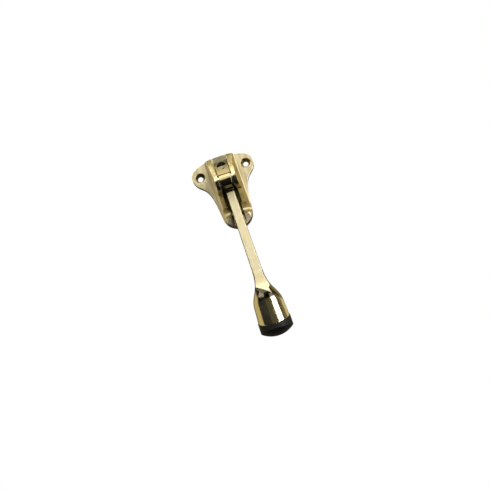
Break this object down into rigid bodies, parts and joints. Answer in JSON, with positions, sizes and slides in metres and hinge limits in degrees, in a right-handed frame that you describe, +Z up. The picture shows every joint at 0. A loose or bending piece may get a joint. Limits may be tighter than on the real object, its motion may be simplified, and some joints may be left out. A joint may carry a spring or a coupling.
{
  "type": "floor door holder",
  "caption": "Kick-down door holder: a cast brass bracket with two screw ears, a hinged arm ending in a round bell with a slanted black rubber foot, held up or down by a sprung block",
  "frame": {"origin": "midway between the two ear screw holes, on the back face of the bracket", "axes": "+Z up the door, +Y into the door, -Y out of the door's face, +X to the right seen from the front"},
  "size_m": [0.0508, 0.0275, 0.1577],
  "materials": {
    "bracket_brass": "polished and lacquered casting",
    "arm_brass": "polished and lacquered casting",
    "pin_brass": "drawn rod, polished ends",
    "washer_brass": "pressed from sheet",
    "block_brass": "polished on the front",
    "spring_steel": "oil-blackened spring wire",
    "rubber": "moulded, matt"
  },
  "bodies": {
    "bracket": {"base_casting": "bracket_brass", "hinge_pin": "pin_brass", "spacer_washer_left": "washer_brass", "spacer_washer_right": "washer_brass", "detent_spring": "spring_steel"},
    "arm": {"lever_arm": "arm_brass", "rubber_tip": "rubber"},
    "block": {"detent_block": "block_brass"}
  },
  "joints": [
    {"name": "arm_pivot", "type": "hinge", "parent": "bracket", "child": "arm", "pos_m": [0, -0.01, -0.0135], "axis": [-1, 0, 0], "range_deg": [0, 166]},
    {"name": "block_slide", "type": "slide", "parent": "bracket", "child": "block", "axis": [0, 0, -1], "range_m": [0, 0.0008], "stiffness_N_per_m": 1200, "springref_m": 0.006, "deforming": ["detent_spring"]}
  ]
}
